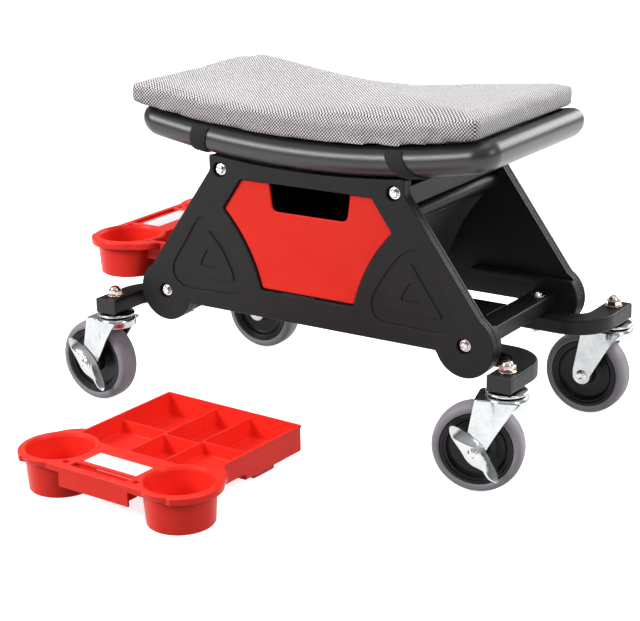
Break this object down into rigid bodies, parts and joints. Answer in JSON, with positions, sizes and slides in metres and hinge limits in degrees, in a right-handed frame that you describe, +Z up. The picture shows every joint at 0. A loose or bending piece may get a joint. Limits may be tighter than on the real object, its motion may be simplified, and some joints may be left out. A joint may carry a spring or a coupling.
{
  "type": "mechanics creeper",
  "caption": "Rolling workshop stool with a padded saddle-curved seat, side panels, a sliding drawer, pull-out cup trays and braked swivel casters.",
  "frame": {"origin": "on the floor, under the middle of the box around the stool and the tray that stands in front of it", "axes": "+X along the seat to the right, +Y from the drawer's front to the back, +Z up"},
  "size_m": [0.636, 0.5734, 0.3957],
  "materials": {
    "red_plastic": "moulded, semi-gloss",
    "black_plastic": "moulded, fine matt grain",
    "rim_plastic": "satin",
    "black_steel": "satin powder coat",
    "zinc_steel": "bright zinc plated",
    "tyre_rubber": "smooth non-marking rubber",
    "fabric": "grey tweed weave over foam",
    "elastic": "woven elastic webbing"
  },
  "bodies": {
    "stool": {"seat_pan": "rim_plastic", "seat_cushion": "fabric", "left_strap": "elastic", "right_strap": "elastic", "front_cover": "black_plastic", "front_inner_panel": "black_plastic", "front_bolt_top_left": "zinc_steel", "front_bolt_top_right": "zinc_steel", "front_bolt_foot_left": "zinc_steel", "front_bolt_foot_right": "zinc_steel", "rear_cover": "black_plastic", "rear_inner_panel": "black_plastic", "rear_bolt_top_left": "zinc_steel", "rear_bolt_top_right": "zinc_steel", "rear_bolt_foot_left": "zinc_steel", "rear_bolt_foot_right": "zinc_steel", "left_cross_tube": "black_steel", "left_stay_tube": "black_steel", "left_stay_rod": "black_steel", "right_cross_tube": "black_steel", "right_stay_tube": "black_steel", "right_stay_rod": "black_steel", "middle_rail": "black_steel", "front_left_arm": "black_steel", "front_left_arm_cap": "black_plastic", "front_left_swivel_plate": "zinc_steel", "front_left_stem_nut": "zinc_steel", "front_right_arm": "black_steel", "front_right_arm_cap": "black_plastic", "front_right_swivel_plate": "zinc_steel", "front_right_stem_nut": "zinc_steel", "rear_right_arm": "black_steel", "rear_right_arm_cap": "black_plastic", "rear_right_swivel_plate": "zinc_steel", "rear_right_stem_nut": "zinc_steel", "rear_left_arm": "black_steel", "rear_left_arm_cap": "black_plastic", "rear_left_swivel_plate": "zinc_steel", "rear_left_stem_nut": "zinc_steel"},
    "drawer": {"drawer": "red_plastic"},
    "left_tray": {"left_tray": "red_plastic"},
    "loose_tray": {"loose_tray": "red_plastic"},
    "front_left_swivel": {"front_left_fork": "zinc_steel", "front_left_axle": "zinc_steel"},
    "front_left_wheel": {"front_left_wheel_core": "black_plastic", "front_left_tyre": "tyre_rubber"},
    "front_left_brake": {"front_left_brake_pedal": "zinc_steel"},
    "front_right_swivel": {"front_right_fork": "zinc_steel", "front_right_axle": "zinc_steel"},
    "front_right_wheel": {"front_right_wheel_core": "black_plastic", "front_right_tyre": "tyre_rubber"},
    "front_right_brake": {"front_right_brake_pedal": "zinc_steel"},
    "rear_right_swivel": {"rear_right_fork": "zinc_steel", "rear_right_axle": "zinc_steel"},
    "rear_right_wheel": {"rear_right_wheel_core": "black_plastic", "rear_right_tyre": "tyre_rubber"},
    "rear_left_swivel": {"rear_left_fork": "zinc_steel", "rear_left_axle": "zinc_steel"},
    "rear_left_wheel": {"rear_left_wheel_core": "black_plastic", "rear_left_tyre": "tyre_rubber"}
  },
  "joints": [
    {"name": "drawer_slide", "type": "slide", "parent": "stool", "child": "drawer", "axis": [0, -1, 0], "range_m": [0, 0.14]},
    {"name": "left_tray_slide", "type": "slide", "parent": "stool", "child": "left_tray", "axis": [-1, 0, 0], "range_m": [0, 0.12]},
    {"name": "loose_tray_lift", "type": "slide", "parent": "stool", "child": "loose_tray", "axis": [0, 0, 1], "range_m": [0, 0.05]},
    {"name": "front_left_caster_swivel", "type": "hinge", "parent": "stool", "child": "front_left_swivel", "pos_m": [-0.23796, -0.00197, 0.1085], "axis": [0, 0, 1], "continuous": true},
    {"name": "front_left_wheel_spin", "type": "hinge", "parent": "front_left_swivel", "child": "front_left_wheel", "pos_m": [-0.26796, -0.00171, 0.05], "axis": [-0.0087, -1, 0], "continuous": true},
    {"name": "front_left_brake_rock", "type": "hinge", "parent": "front_left_swivel", "child": "front_left_brake", "pos_m": [-0.26796, -0.00171, 0.05], "axis": [-0.0087, -1, 0], "range_deg": [-16, 0]},
    {"name": "front_right_caster_swivel", "type": "hinge", "parent": "stool", "child": "front_right_swivel", "pos_m": [0.29404, -0.00197, 0.1085], "axis": [0, 0, 1], "continuous": true},
    {"name": "front_right_wheel_spin", "type": "hinge", "parent": "front_right_swivel", "child": "front_right_wheel", "pos_m": [0.26538, -0.01084, 0.05], "axis": [0.2957, -0.9553, 0], "continuous": true},
    {"name": "front_right_brake_rock", "type": "hinge", "parent": "front_right_swivel", "child": "front_right_brake", "pos_m": [0.26538, -0.01084, 0.05], "axis": [0.2957, -0.9553, 0], "range_deg": [-16, 0]},
    {"name": "rear_right_caster_swivel", "type": "hinge", "parent": "stool", "child": "rear_right_swivel", "pos_m": [0.29404, 0.26083, 0.1085], "axis": [0, 0, 1], "continuous": true},
    {"name": "rear_right_wheel_spin", "type": "hinge", "parent": "rear_right_swivel", "child": "rear_right_wheel", "pos_m": [0.26407, 0.25952, 0.05], "axis": [0.0436, -0.999, 0], "continuous": true},
    {"name": "rear_left_caster_swivel", "type": "hinge", "parent": "stool", "child": "rear_left_swivel", "pos_m": [-0.23796, 0.26083, 0.1085], "axis": [0, 0, 1], "continuous": true},
    {"name": "rear_left_wheel_spin", "type": "hinge", "parent": "rear_left_swivel", "child": "rear_left_wheel", "pos_m": [-0.20798, 0.26188, 0.05], "axis": [-0.0349, 0.9994, 0], "continuous": true}
  ]
}
